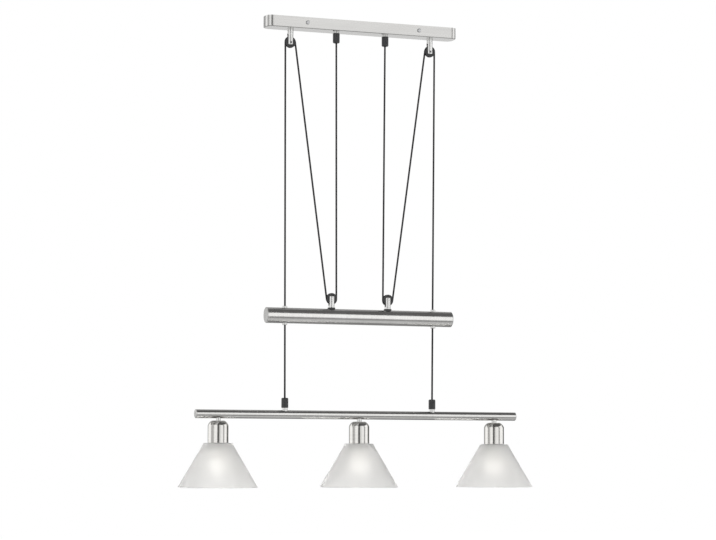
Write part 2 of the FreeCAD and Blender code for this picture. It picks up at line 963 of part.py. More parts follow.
def lamp_bar():
    half = bar_length / 2 - bar_cap_height
    start = Vector(-half, 0, bar_z)
    end = Vector(half, 0, bar_z)
    bar = rod(bar_diameter, start, end).cut(rod(2 * bar_inside_radius, start, end))
    for side in SIDES.values():
        x = side * bar_grip_x
        bar = bar.cut(upright(nipple_thread_diameter + 2 * pin_gap, x, bar_z, bar_z + bar_diameter))
    for place in LAMPS.values():
        x = place * lamp_spacing
        bar = bar.cut(upright(stem_thread_diameter + 2 * pin_gap, x, bar_z - bar_diameter, bar_z))
    return bar


def bar_cap(side):
    """Low dome with a spigot that plugs the bar."""
    face = bar_length / 2
    back = face - bar_cap_height
    spigot = bar_inside_radius - slide_gap
    rim = bar_cap_height / 3
    flat = bar_radius - 2 * rim
    cap = turned_on_bar(
        bar_z,
        (back - bar_cap_spigot, 0),
        (back - bar_cap_spigot, spigot),
        (back, spigot),
        (back, bar_radius),
        (back + rim, bar_radius),
        (
            on_arc((face - 2 * rim, flat), 2 * rim, 45),
            (face, flat),
        ),
        (face, 0),
    )
    return put_on_side(cap, side)


def lead(start_x, lamp_x):
    """Wire that runs along the bar and turns down into the stem of one light point."""
    level = bar_z - bar_inside_radius / 3
    bottom = cup_top - cup_wall - stem_height
    way = math.copysign(1, lamp_x - start_x)
    bend = lead_bend_radius
    half_turn = bend * math.sin(math.radians(45))
    start = Vector(start_x, 0, level)
    bend_start = Vector(lamp_x - way * bend, 0, level)
    bend_middle = Vector(
        lamp_x - way * (bend - half_turn), 0, level - bend + half_turn
    )
    bend_end = Vector(lamp_x, 0, level - bend)
    end = Vector(lamp_x, 0, bottom)
    edges = [
        Part.LineSegment(start, bend_start).toShape(),
        Part.Arc(bend_start, bend_middle, bend_end).toShape(),
        Part.LineSegment(bend_end, end).toShape(),
    ]
    return tube_along(edges, lead_diameter)


def bar_leads():
    inner_start = bar_grip_x - cord_diameter
    outer_start = bar_grip_x + cord_diameter
    return group(
        [
            lead(-outer_start, -lamp_spacing),
            lead(-inner_start, 0),
            lead(outer_start, lamp_spacing),
        ]
    )


# ---- light points -------------------------------------------------------------------------------

def socket_stem(x):
    """Collar between bar and cup, on a threaded tube that holds the lampholder."""
    bore = stem_bore_diameter / 2
    thread = stem_thread_diameter / 2
    collar = stem_diameter / 2
    bar_bottom = bar_z - bar_radius
    thread_bottom = cup_top - cup_wall - holder_boss_height
    thread_top = bar_bottom + bar_wall
    sag = bar_radius - math.sqrt(bar_radius**2 - collar**2)
    stem = turned(
        x,
        (bore, thread_bottom),
        (thread, thread_bottom),
        (thread, cup_top),
        (collar, cup_top),
        (collar, bar_bottom + sag),
        (thread, bar_bottom + sag),
        (thread, thread_top),
        (bore, thread_top),
    )
    hole = upright(stem_thread_diameter, x, bar_z - bar_diameter, bar_z)
    bar_space = rod(
        bar_diameter, Vector(x - stem_diameter, 0, bar_z), Vector(x + stem_diameter, 0, bar_z)
    ).cut(hole)
    return stem.cut(bar_space)


def cup_profile(inset):
    """Points (radius, z) of the cup's outside, or of its inside when inset is the wall."""
    radius = cup_diameter / 2 - inset
    flat = cup_flat_diameter / 2 - inset / 2
    top = cup_top - inset
    shoulder = cup_top - cup_shoulder_height
    middle = (
        flat + (radius - flat) * cup_shoulder_bulge,
        shoulder + (top - shoulder) * cup_shoulder_bulge,
    )
    return radius, flat, top, shoulder, middle


def socket_cup(x):
    radius, flat, top, shoulder, middle = cup_profile(0)
    in_radius, in_flat, in_top, in_shoulder, in_middle = cup_profile(cup_wall)
    hole = stem_thread_diameter / 2 + pin_gap
    return turned(
        x,
        (hole, top),
        (flat, top),
        (middle, (radius, shoulder)),
        (radius, cup_bottom),
        (in_radius, cup_bottom),
        (in_radius, in_shoulder),
        (in_middle, (in_flat, in_top)),
        (hole, in_top),
    )


def lamp_holder(x):
    """Screwed lampholder: boss on the stem's thread, body in the cup, skirt through the glass."""
    top = cup_top - cup_wall
    boss = holder_boss_diameter / 2
    body = holder_diameter / 2
    skirt = holder_skirt_diameter / 2
    bore = holder_bore_diameter / 2
    thread = stem_thread_diameter / 2 + pin_gap
    boss_bottom = top - holder_boss_height
    shoulder = boss_bottom - holder_boss_height
    skirt_top = cup_bottom + holder_below_cup / 3
    bore_top = bulb_cap_top + cap_end_gap
    lead_hole = stem_bore_diameter / 2
    return turned(
        x,
        (thread, top),
        (boss, top),
        (boss, boss_bottom),
        (body, shoulder),
        (body, skirt_top),
        (skirt, skirt_top),
        (skirt, holder_bottom),
        (bore, holder_bottom),
        (bore, bore_top),
        (lead_hole, bore_top),
        (lead_hole, boss_bottom),
        (thread, boss_bottom),
    )


def shade_ring(x):
    """Screwed ring with grip grooves, which holds the glass up against the cup."""
    inner = holder_skirt_diameter / 2 + slide_gap
    outer = inner + ring_wall
    top = glass_top - shade_thickness - slide_gap
    bottom = top - ring_height
    ring = upright(2 * outer, x, bottom, top)
    ring = ring.cut(upright(2 * inner, x, bottom - past, top + past))
    grooves = []
    for i in range(ring_groove_count):
        angle = 2 * math.pi * i / ring_groove_count
        reach = outer + ring_groove_radius / 3
        centre_x = x + reach * math.cos(angle)
        centre_y = reach * math.sin(angle)
        grooves.append(
            upright(2 * ring_groove_radius, centre_x, bottom - past, top - ring_height / 6, centre_y)
        )
    return ring.cut(grooves)


def glass_shade(x):
    """Cone of frosted glass with a flat neck that the ring clamps, open below."""
    hole = shade_hole_diameter / 2
    flat = shade_flat_diameter / 2
    neck = shade_neck_diameter / 2
    rim = shade_rim_diameter / 2
    shoulder_drop = neck - flat
    slope = math.atan2(rim - neck, shade_height - shoulder_drop)
    across = shade_thickness / math.cos(slope)
    shoulder = glass_top - shoulder_drop
    bulge = quarter_bulge * shoulder_drop
    middle = (neck - bulge, glass_top - bulge)
    inside_top = glass_top - shade_thickness
    inside_neck = neck - across + shade_thickness * math.tan(slope) - shoulder_drop * math.tan(slope)
    inside_rim = rim - across
    shade = turned(
        x,
        (hole, glass_top),
        (flat, glass_top),
        (middle, (neck, shoulder)),
        (rim, glass_rim),
        (inside_rim, glass_rim),
        (inside_neck, inside_top),
        (hole, inside_top),
    )
    lower_edges = [
        e
        for e in shade.Edges
        if e.BoundBox.ZMax < glass_rim + 0.001 and e.BoundBox.DiagonalLength > shade_height
    ]
    return shade.makeFillet(shade_rim_radius, lower_edges)


def bulb(x):
    """Round bulb: a hollow glass ball with a conical neck, which the screw cap closes."""
    ball = bulb_diameter / 2
    hollow = ball - bulb_wall
    neck = bulb_cap_diameter / 2 + seat_gap
    top = bulb_cap_bottom
    centre = (0, bulb_centre)
    return turned(
        x,
        (neck - bulb_wall, top),
        (neck, top),
        on_arc(centre, ball, bulb_neck_angle),
        ((ball, bulb_centre), (0, bulb_centre - ball)),
        (0, bulb_centre - hollow),
        ((hollow, bulb_centre), on_arc(centre, hollow, bulb_neck_angle)),
    )


def bulb_cap(x):
    """Thin screw cap with its contact on top, open towards the bulb."""
    radius = bulb_cap_diameter / 2
    contact = radius / 3
    step = bulb_cap_height / 8
    wall = bulb_cap_wall
    mitre = wall * math.tan(math.radians(22.5))
    return turned(
        x,
        (radius - wall, bulb_cap_bottom),
        (radius, bulb_cap_bottom),
        (radius, bulb_cap_top - 2 * step),
        (radius - step, bulb_cap_top - step),
        (contact, bulb_cap_top - step),
        (contact, bulb_cap_top),
        (0, bulb_cap_top),
        (0, bulb_cap_top - step - wall),
        (radius - step - mitre, bulb_cap_top - step - wall),
        (radius - wall, bulb_cap_top - 2 * step - mitre),
    )


# ---- all nodes ----------------------------------------------------------------------------------

def nodes():
    """Name and shape of every node."""
    yield "ceiling_bracket", ceiling_bracket()
    yield "canopy_cover", canopy_cover()
    yield "canopy_screws", canopy_screws()
    yield "terminal_block", terminal_block()
    yield "terminal_screws", terminal_screws()
    yield "canopy_fork_nuts", on_both_sides(fork_nut(canopy_pulley_x))
    yield "canopy_pulley_axles", on_both_sides(axle(canopy_pulley_x, canopy_axle_z))
    yield "canopy_grip_nuts", on_both_sides(grip_nut(canopy_grip_x))

    yield "counterweight_tube", counterweight_tube()
    yield "counterweight_core", counterweight_core()
    yield "fork_washers", on_both_sides(fork_washer(counterweight_pulley_x))
    yield "counterweight_pulley_axles", on_both_sides(
        axle(counterweight_pulley_x, counterweight_axle_z)
    )
    yield "upper_guide_bushes", on_both_sides(guide_bush(1))
    yield "lower_guide_bushes", on_both_sides(guide_bush(-1))

    yield "lamp_bar", lamp_bar()
    yield "bar_leads", bar_leads()

    canopy_grips = {}
    bar_grips = {}
    for name, side in SIDES.items():
        yield name + "_canopy_fork", canopy_fork(side)
        yield name + "_canopy_pulley", pulley(side * canopy_pulley_x, canopy_axle_z)
        yield name + "_counterweight_fork", counterweight_fork(side)
        yield name + "_counterweight_pulley", pulley(
            side * counterweight_pulley_x, counterweight_axle_z
        )
        yield name + "_counterweight_cap", counterweight_cap(side)
        yield name + "_bar_cap", bar_cap(side)
        yield name + "_cord", cord(side)
        canopy_grips[name] = canopy_grip_parts(side)
        bar_grips[name] = bar_grip_parts(side)
        yield name + "_canopy_grip", canopy_grips[name][1]
        yield name + "_bar_grip", bar_grips[name][1]
    yield "canopy_grip_nipples", group([p[0] for p in canopy_grips.values()])
    yield "canopy_grip_screws", group([p[2] for p in canopy_grips.values()])
    yield "bar_grip_nipples", group([p[0] for p in bar_grips.values()])
    yield "bar_grip_screws", group([p[2] for p in bar_grips.values()])

    for name, place in LAMPS.items():
        x = place * lamp_spacing
        yield name + "_socket_stem", socket_stem(x)
        yield name + "_socket_cup", socket_cup(x)
        yield name + "_lamp_holder", lamp_holder(x)
        yield name + "_shade_ring", shade_ring(x)
        yield name + "_glass_shade", glass_shade(x)
        yield name + "_bulb", bulb(x)
    yield "bulb_caps", group([bulb_cap(place * lamp_spacing) for place in LAMPS.values()])


def main():
    os.makedirs("parts", exist_ok=True)
    count = 0
    for name, shape in nodes():
        if not shape.isValid() or shape.Volume <= 0 or not shape.Solids:
            print("check", name, "valid", shape.isValid(), "volume", shape.Volume)
        shape.exportStep(os.path.join("parts", name + ".step"))
        count += 1
    print(count, "nodes")


main()
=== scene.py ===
"""The looks of a rise and fall pendant: metal finishes, frosted glass, cords and a plain studio.

Metres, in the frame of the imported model: the origin is the middle of the ceiling plate, +Z is up,
the bar runs along X, and the front long wall of the canopy faces -Y.
"""

import math

import bpy
from mathutils import Matrix, Vector


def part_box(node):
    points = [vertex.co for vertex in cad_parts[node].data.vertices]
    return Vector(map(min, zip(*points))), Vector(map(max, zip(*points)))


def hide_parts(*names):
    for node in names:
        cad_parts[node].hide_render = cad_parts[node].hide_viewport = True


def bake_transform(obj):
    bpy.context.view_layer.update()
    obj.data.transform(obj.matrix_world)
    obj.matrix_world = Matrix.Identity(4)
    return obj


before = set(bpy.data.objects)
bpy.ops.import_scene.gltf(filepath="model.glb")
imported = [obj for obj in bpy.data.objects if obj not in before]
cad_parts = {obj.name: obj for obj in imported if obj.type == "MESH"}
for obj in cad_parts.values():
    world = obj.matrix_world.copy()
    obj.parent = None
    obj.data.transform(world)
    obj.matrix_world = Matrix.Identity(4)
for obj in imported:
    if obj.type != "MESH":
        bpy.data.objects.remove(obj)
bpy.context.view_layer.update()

SIDES = {"left": -1, "right": 1}
LAMPS = ("left", "middle", "right")


def new_object(name, data):
    """Adds an object to the scene."""
    thing = bpy.data.objects.new(name, data)
    bpy.context.scene.collection.objects.link(thing)
    return thing


# ---- camera, at the photograph's angle ----------------------------------------------------------

camera_place = Vector((-1.6814, -4.6195, -0.9424))
camera_heading = math.radians(19.954)
camera_pitch = math.radians(4.517)
camera_roll = math.radians(0.2362)
focal_length_px = 2226
image_width_px = 716
sensor_width_mm = 36
farthest_seen = 100


def make_camera():
    data = bpy.data.cameras.new("camera")
    data.sensor_width = sensor_width_mm
    data.lens = sensor_width_mm * focal_length_px / image_width_px
    data.clip_end = farthest_seen
    camera = new_object("camera", data)
    bpy.context.scene.camera = camera
    forward = Vector(
        (
            math.sin(camera_heading) * math.cos(camera_pitch),
            math.cos(camera_heading) * math.cos(camera_pitch),
            math.sin(camera_pitch),
        )
    )
    level = Vector((math.cos(camera_heading), -math.sin(camera_heading), 0))
    upright = level.cross(forward)
    right = level * math.cos(camera_roll) + upright * math.sin(camera_roll)
    up = upright * math.cos(camera_roll) - level * math.sin(camera_roll)
    turn = Matrix((right, up, -forward)).transposed()
    camera.matrix_world = Matrix.Translation(camera_place) @ turn.to_4x4()


# ---- shader helpers -----------------------------------------------------------------------------

# Most values of a noise lie between these two.
noise_low = 0.3
noise_high = 0.7


def add(tree, kind, inputs=None, **properties):
    """Adds a shader node. An input is given a value, or the socket that it is linked to."""
    node = tree.nodes.new("ShaderNode" + kind)
    for name, value in properties.items():
        setattr(node, name, value)
    for name, value in (inputs or {}).items():
        if isinstance(value, bpy.types.NodeSocket):
            tree.links.new(value, node.inputs[name])
        else:
            node.inputs[name].default_value = value
    return node


def noise(tree, grains, detail=2.0):
    """Noise over the model's coordinates, with so many grains a metre along X, Y and Z."""
    place = add(tree, "TexCoord").outputs["Object"]
    drawn = add(tree, "Mapping", {"Vector": place, "Scale": grains}).outputs["Vector"]
    return add(tree, "TexNoise", {"Vector": drawn, "Scale": 1.0, "Detail": detail}).outputs[0]


def thrice(value):
    """The same value along X, Y and Z, or in red, green and blue."""
    return (value, value, value)


def along(axis, few, many):
    """Grains of a brushing whose scratches run along one axis."""
    return tuple(few if name == axis else many for name in "XYZ")


def around(axis, few, many):
    """Grains of a turned finish, whose scratches go round one axis."""
    return tuple(many if name == axis else few for name in "XYZ")


def map_range(tree, value, from_low, from_high, to_low, to_high, interpolation="LINEAR"):
    """Maps the range of a value onto another range, and keeps it inside."""
    inputs = {
        "Value": value,
        "From Min": from_low,
        "From Max": from_high,
        "To Min": to_low,
        "To Max": to_high,
    }
    return add(tree, "MapRange", inputs, interpolation_type=interpolation).outputs["Result"]


def between(tree, drawn_noise, low, high):
    """Spreads a noise over the values from low to high."""
    return map_range(tree, drawn_noise, noise_low, noise_high, low, high)


def rising(tree, low, high, at_low, at_high):
    """Value that goes smoothly from at_low to at_high between two heights of the model."""
    place = add(tree, "TexCoord").outputs["Object"]
    height = add(tree, "SeparateXYZ", {"Vector": place}).outputs["Z"]
    return map_range(tree, height, low, high, at_low, at_high, "SMOOTHSTEP")


def blend_colours(tree, drawn_noise, dark, light):
    """Spreads a noise over the colours from dark to light."""
    ramp = add(tree, "ValToRGB", {"Fac": drawn_noise})
    ramp.color_ramp.elements[0].position = noise_low
    ramp.color_ramp.elements[0].color = (*dark, 1)
    ramp.color_ramp.elements[1].position = noise_high
    ramp.color_ramp.elements[1].color = (*light, 1)
    return ramp.outputs["Color"]


def math_node(tree, operation, one, other):
    return add(tree, "Math", {0: one, 1: other}, operation=operation).outputs[0]


def average(tree, one, other):
    return math_node(tree, "MULTIPLY", math_node(tree, "ADD", one, other), 0.5)


def relief(tree, height, depth, strength=1.0):
    inputs = {"Height": height, "Distance": depth, "Strength": strength}
    return add(tree, "Bump", inputs).outputs["Normal"]


def new_material(name):
    material = bpy.data.materials.new(name)
    material.use_nodes = True
    tree = material.node_tree
    tree.nodes.clear()
    return material, tree


def end_in(tree, surface):
    """Ends a material in a shader."""
    add(tree, "OutputMaterial", {"Surface": surface})


def end_in_principled(tree, inputs):
    end_in(tree, add(tree, "BsdfPrincipled", inputs).outputs["BSDF"])


# ---- materials ----------------------------------------------------------------------------------

# How many times coarser the second scale of a brushing is.
coarser = 5


def metal(name, dark, light, rough, brushing, clouds, depth):
    """Metal with directional brushing in two scales, and with clouds that vary its gloss.

    rough is the lowest and highest roughness. brushing and clouds are grains a metre along X, Y
    and Z, and depth is how deep the scratches are."""
    material, tree = new_material(name)
    fine = noise(tree, brushing, detail=3.0)
    coarse = noise(tree, tuple(grains / coarser for grains in brushing))
    cloud = noise(tree, clouds, detail=3.0)
    streaks = average(tree, fine, coarse)
    end_in_principled(
        tree,
        {
            "Base Color": blend_colours(tree, average(tree, coarse, cloud), dark, light),
            "Roughness": between(tree, average(tree, streaks, cloud), *rough),
            "Normal": relief(tree, streaks, depth),
            "Metallic": 1.0,
        },
    )
    return material


def plastic(name, dark, light, rough, grains, depth, clouds=60):
    """Moulded plastic with a fine spark-eroded grain and a slightly uneven gloss.

    rough is the lowest and highest roughness. grains and clouds are counted a metre, and depth is
    how deep the grain is."""
    material, tree = new_material(name)
    grain = noise(tree, thrice(grains), detail=3.0)
    cloud = noise(tree, thrice(clouds))
    end_in_principled(
        tree,
        {
            "Base Color": blend_colours(tree, cloud, dark, light),
            "Roughness": between(tree, cloud, *rough),
            "Normal": relief(tree, grain, depth),
        },
    )
    return material


def frosted_glass():
    """Clear glass etched to a fine even frost, which thins at the neck, where the ring shows."""
    material, tree = new_material("frosted_glass")
    frost = noise(tree, thrice(1500), detail=3.0)
    cloud = noise(tree, thrice(14))
    dark = (0.87, 0.862, 0.848)
    light = (0.905, 0.897, 0.883)
    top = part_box("middle_glass_shade")[1][2]
    thins_from = top - 0.022
    thinnest_from = top - 0.008
    thinning = rising(tree, thins_from, thinnest_from, at_low=0.0, at_high=0.16)
    rough = between(tree, cloud, 0.47, 0.53)
    end_in_principled(
        tree,
        {
            "Base Color": blend_colours(tree, cloud, dark, light),
            "Roughness": math_node(tree, "SUBTRACT", rough, thinning),
            "Normal": relief(tree, frost, depth=0.00006, strength=0.5),
            "Transmission Weight": 0.72,
            "IOR": 1.45,
        },
    )
    return material


def bulb_glass():
    """Opal glass of a lit bulb, bright at its ball and dim at its neck."""
    material, tree = new_material("bulb_glass")
    cloud = noise(tree, thrice(70))
    dark = (0.90, 0.89, 0.86)
    light = (0.95, 0.945, 0.92)
    lowest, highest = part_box("middle_bulb")
    ball_middle = lowest[2] + (highest[0] - lowest[0]) / 2
    full_glow_to = ball_middle - 0.008
    dim_from = ball_middle + 0.024
    end_in_principled(
        tree,
        {
            "Base Color": blend_colours(tree, cloud, dark, light),
            "Roughness": between(tree, cloud, 0.22, 0.32),
            "Emission Color": (1.0, 0.985, 0.95, 1.0),
            "Emission Strength": rising(tree, full_glow_to, dim_from, at_low=0.88, at_high=0.30),
        },
    )
    return material


def on_sides(*names):
    """The left and right nodes of these names."""
    return [side + "_" + name for name in names for side in SIDES]


def on_lamps(*names):
    """The left, middle and right nodes of these names."""
    return [lamp + "_" + name for name in names for lamp in LAMPS]


def finishes():
    """Each material with the nodes that it is on."""
    # The canopy, bar, counterweight, cap and cup nickels below are one satin nickel in darker and
    # lighter copies. Each part's base colour is set to how bright that part shows under the studio
    # light, which is painted light and shade, darkest on the canopy and lightest on the
    # counterweight.
    yield metal(
        "canopy_nickel",
        dark=(0.545, 0.54, 0.53), light=(0.635, 0.63, 0.615), rough=(0.15, 0.22),
        brushing=along("X", few=12, many=2600), clouds=(9, 40, 40), depth=0.000004,
    ), ["canopy_cover"]
    yield metal(
        "bar_nickel",
        dark=(0.62, 0.615, 0.60), light=(0.72, 0.715, 0.70), rough=(0.10, 0.16),
        brushing=around("X", few=20, many=2600), clouds=thrice(14), depth=0.000004,
    ), ["lamp_bar"]
    yield metal(
        "counterweight_nickel",
        dark=(0.69, 0.685, 0.67), light=(0.79, 0.785, 0.77), rough=(0.16, 0.23),
        brushing=around("X", few=20, many=2600), clouds=thrice(14), depth=0.000004,
    ), ["counterweight_tube"]
    yield metal(
        "cap_nickel",
        dark=(0.655, 0.65, 0.635), light=(0.765, 0.76, 0.745), rough=(0.24, 0.32),
        brushing=thrice(900), clouds=thrice(30), depth=0.000003,
    ), on_sides("counterweight_cap", "bar_cap")
    yield metal(
        "cup_nickel",
        dark=(0.625, 0.615, 0.595), light=(0.725, 0.715, 0.69), rough=(0.10, 0.16),
        brushing=around("Z", few=30, many=2400), clouds=(25, 25, 40), depth=0.000004,
    ), on_lamps("socket_cup")
    yield metal(
        "machined_nickel",
        dark=(0.66, 0.66, 0.65), light=(0.78, 0.78, 0.77), rough=(0.16, 0.26),
        brushing=around("Z", few=60, many=3000), clouds=thrice(50), depth=0.000005,
    ), on_sides("canopy_fork", "counterweight_fork") + on_lamps("socket_stem") + [
        "canopy_grip_nipples", "bar_grip_nipples", "upper_guide_bushes", "lower_guide_bushes",
        "counterweight_pulley_axles",
    ]
    # The canopy's pulley axles get a near-black steel as painted shade, which stands for the dark
    # dots at the fork ends. The same axles on the counterweight keep the machined nickel.
    yield metal(
        "axle_painted_shade",
        dark=(0.10, 0.10, 0.105), light=(0.17, 0.17, 0.175), rough=(0.22, 0.34),
        brushing=thrice(700), clouds=thrice(80), depth=0.000006,
    ), ["canopy_pulley_axles"]
    # The canopy's screws get a steel darker than the canopy. This is partly their own steel and
    # partly painted shade, which stands for the dark ring round each head.
    yield metal(
        "screw_steel_and_shade",
        dark=(0.42, 0.42, 0.43), light=(0.58, 0.58, 0.59), rough=(0.16, 0.26),
        brushing=thrice(700), clouds=thrice(80), depth=0.000006,
    ), ["canopy_screws"]
    yield metal(
        "zinc_steel",
        dark=(0.46, 0.47, 0.49), light=(0.64, 0.65, 0.67), rough=(0.25, 0.42),
        brushing=thrice(300), clouds=thrice(45), depth=0.000010,
    ), ["ceiling_bracket", "canopy_fork_nuts", "canopy_grip_nuts", "counterweight_core"]
    yield metal(
        "brass",
        dark=(0.72, 0.56, 0.29), light=(0.84, 0.70, 0.42), rough=(0.18, 0.32),
        brushing=thrice(400), clouds=thrice(60), depth=0.000008,
    ), ["terminal_screws", "bulb_caps"]
    yield plastic(
        "black_plastic",
        dark=(0.022, 0.022, 0.023), light=(0.035, 0.035, 0.036), rough=(0.36, 0.50),
        grains=1800, depth=0.00003,
    ), on_sides("canopy_pulley", "counterweight_pulley", "canopy_grip", "bar_grip") + [
        "fork_washers",
    ]
    yield plastic(
        "black_screw",
        dark=(0.03, 0.03, 0.032), light=(0.05, 0.05, 0.052), rough=(0.25, 0.40),
        grains=900, depth=0.00002,
    ), ["canopy_grip_screws", "bar_grip_screws"]
    yield plastic(
        "lead_sheath",
        dark=thrice(0.03), light=thrice(0.05), rough=(0.4, 0.5),
        grains=700, depth=0.00002,
    ), ["bar_leads"]
    yield plastic(
        "white_plastic",
        dark=(0.74, 0.74, 0.72), light=(0.80, 0.80, 0.785), rough=(0.34, 0.46),
        grains=1500, depth=0.00003,
    ), on_lamps("lamp_holder", "shade_ring") + ["terminal_block"]
    yield frosted_glass(), on_lamps("glass_shade")
    yield bulb_glass(), on_lamps("bulb")


def dress_cad():
    for material, nodes in finishes():
        for node in nodes:
            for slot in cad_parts[node].material_slots:
                slot.material = material


# ---- cords --------------------------------------------------------------------------------------

cord_diameter = 0.004
cord_sides = 20
steps_a_span = 24
straight_within = math.radians(0.05)

lamp_stretch_length = 0.8333
slanting_stretch_length = 0.6043
connector_stretch_length = 0.6663

# Places on the right cord: its two ends, the points over the canopy's pulley and under the
# counterweight's, and the corners where the cord's straight runs would meet the level of those
# points and of the connector. The left cord mirrors it.
pitch_radius = 0.0114
canopy_axle = Vector((0.1655, 0, -0.0555))
counterweight_axle = Vector((0.0662, 0, -0.6188))
over_top = canopy_axle + Vector((0, 0, pitch_radius))
under = counterweight_axle - Vector((0, 0, pitch_radius))
bar_end = Vector((0.1726, 0, -0.87085))
outer_corner = Vector((0.17694, 0, over_top.z))
slant_top = Vector((0.15554, 0, over_top.z))
slant_bottom = Vector((0.07616, 0, under.z))
inner_corner = Vector((0.05475, 0, under.z))
connector_corner = Vector((0.058, 0, -0.0099))
connector_end = Vector((0.015, 0, -0.0099))

# The spline leaves a straight run halfway between a corner and the point before it, so that point
# is two radii of the bend away from the corner.
pulley_reach = 2 * pitch_radius
connector_bend_radius = 0.008
connector_reach = 2 * connector_bend_radius

# The outer cords keep a point at this level, so that a stretch below it leaves their lean above it,
# which keeps them inside the guide bushes when the counterweight is at its highest.
lean_kept_to = -0.42


def mirrored(point, side):
    return Vector((side * point.x, point.y, point.z))


def towards(start, end, distance):
    return start + (end - start).normalized() * distance


def smooth_line(route):
    """Points of the smooth line that a NURBS spline draws along a route."""
    curve = bpy.data.curves.new("route", "CURVE")
    curve.dimensions = "3D"
    curve.resolution_u = steps_a_span
    spline = curve.splines.new("NURBS")
    spline.points.add(len(route) - 1)
    for control, place in zip(spline.points, route):
        control.co = (*place, 1)
    spline.order_u = 3
    spline.use_endpoint_u = True
    holder = new_object("route", curve)
    bpy.context.view_layer.update()
    mesh = bpy.data.meshes.new_from_object(holder)
    line = [vertex.co.copy() for vertex in mesh.vertices]
    bpy.data.meshes.remove(mesh)
    bpy.data.objects.remove(holder)
    bpy.data.curves.remove(curve)
    return line


def without_straight_points(line, kept_level=None):
    """Leaves out the points inside a straight stretch, so that it stays straight when the lamp
    is moved, but for the point nearest to kept_level, where one is given."""
    kept_point = None
    if kept_level is not None:
        kept_point = min(line, key=lambda place: abs(place.z - kept_level))
    kept = [line[0]]
    for here, after in zip(line[1:-1], line[2:]):
        bent = (here - kept[-1]).angle(after - here) > straight_within
        if bent or here is kept_point:
            kept.append(here)
    return kept + [line[-1]]


def tube(name, line, diameter):
    """Closed round tube along a line in the XZ plane."""
    vertices = []
    faces = []
    sideways = Vector((0, 1, 0))
    for i, place in enumerate(line):
        heading = (line[min(i + 1, len(line) - 1)] - line[max(i - 1, 0)]).normalized()
        outward = heading.cross(sideways)
        for j in range(cord_sides):
            angle = 2 * math.pi * j / cord_sides
            across = outward * math.cos(angle) + sideways * math.sin(angle)
            vertices.append(place + across * diameter / 2)
    for i in range(len(line) - 1):
        for j in range(cord_sides):
            here = i * cord_sides + j
            beside = i * cord_sides + (j + 1) % cord_sides
            faces.append((here, here + cord_sides, beside + cord_sides, beside))
    faces.append(tuple(range(cord_sides)))
    faces.append(tuple(reversed(range(len(vertices) - cord_sides, len(vertices)))))
    mesh = bpy.data.meshes.new(name)
    mesh.from_pydata(vertices, [], faces)
    for polygon in mesh.polygons:
        polygon.use_smooth = len(polygon.vertices) == 4
    return new_object(name, mesh)


def cord_sheath():
    """Smooth round sheath, a little uneven in gloss, as a drawn plastic cord is."""
    material, tree = new_material("cord_sheath")
    grain = noise(tree, (900, 900, 500), detail=3.0)
    cloud = noise(tree, (90, 90, 25))
    dark = (0.012, 0.012, 0.0125)
    light = (0.022, 0.022, 0.023)
    end_in_principled(
        tree,
        {
            "Base Color": blend_colours(tree, cloud, dark, light),
            "Roughness": between(tree, cloud, 0.42, 0.56),
            "Normal": relief(tree, grain, depth=0.000008),
            "Specular IOR Level": 0.3,
        },
    )
    return material


def cord_stretches():
    """The right cord in three stretches: over the canopy's pulley from the bar, down from its top
    to the counterweight's pulley, and up from there to the connector. Each has its name, its two
    bodies, its length, the level down to which it keeps its lean, and its route."""
    yield "lamp_stretch", ("lamp", "canopy"), lamp_stretch_length, lean_kept_to, [
        bar_end,
        towards(outer_corner, bar_end, pulley_reach),
        outer_corner,
        over_top,
    ]
    yield "slanting_stretch", ("canopy", "counterweight"), slanting_stretch_length, None, [
        over_top,
        slant_top,
        towards(slant_top, slant_bottom, pulley_reach),
        towards(slant_bottom, slant_top, pulley_reach),
        slant_bottom,
        under,
    ]
    yield "connector_stretch", ("counterweight", "canopy"), connector_stretch_length, None, [
        under,
        inner_corner,
        towards(inner_corner, connector_corner, pulley_reach),
        towards(connector_corner, inner_corner, connector_reach),
        connector_corner,
        connector_end,
    ]


def longest_run(line):
    """The two ends of the longest straight run."""
    pairs = list(zip(line, line[1:]))
    return max(pairs, key=lambda pair: (pair[1] - pair[0]).length)


def make_cords():
    sheath = cord_sheath()
    for side_name, side in SIDES.items():
        for stretch_name, bodies, length, kept_level, route in cord_stretches():
            route = [mirrored(point, side) for point in route]
            line = without_straight_points(smooth_line(route), kept_level)
            piece = tube(side_name + "_" + stretch_name, line, cord_diameter)
            piece.data.materials.append(sheath)
            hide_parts(side_name + "_cord")
            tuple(line[0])
            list(bodies)
            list(longest_run(line))
            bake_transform(piece)


# ---- surroundings -------------------------------------------------------------------------------

white = (1, 1, 1, 1)
daylight = (0.97, 0.985, 1, 1)
daylight_strength = 0.55

floor_height = -2.4
floor_size = 60
floor_glow = 0.62

# Name, place, width, height and watts.
studio_lights = (
    ("key", (-2.6, -3.4, 0.9), 2.4, 1.6, 80),
    ("fill", (3.2, -2.6, 0.2), 2.0, 2.0, 18),
    ("back", (0.5, 3.6, 1.0), 2.6, 1.6, 35),
)
lights_aim_at = Vector((0, 0, -0.55))


def shown_to_eye(tree):
    """1 for what the camera sees, directly, in a mirror or through glass, and 0 for light."""
    path = add(tree, "LightPath")
    seen = path.outputs["Is Camera Ray"]
    for name in ("Is Glossy Ray", "Is Transmission Ray"):
        seen = math_node(tree, "MAXIMUM", seen, path.outputs[name])
    return seen


def make_world():
    """White to the eye, and a weaker daylight on the pendant."""
    world = bpy.data.worlds.new("studio")
    bpy.context.scene.world = world
    world.use_nodes = True
    tree = world.node_tree
    tree.nodes.clear()
    seen = add(tree, "Background", {"Color": white, "Strength": 1.0})
    light = add(tree, "Background", {"Color": daylight, "Strength": daylight_strength})
    inputs = {"Fac": shown_to_eye(tree), 1: light.outputs[0], 2: seen.outputs[0]}
    add(tree, "OutputWorld", {"Surface": add(tree, "MixShader", inputs).outputs[0]})


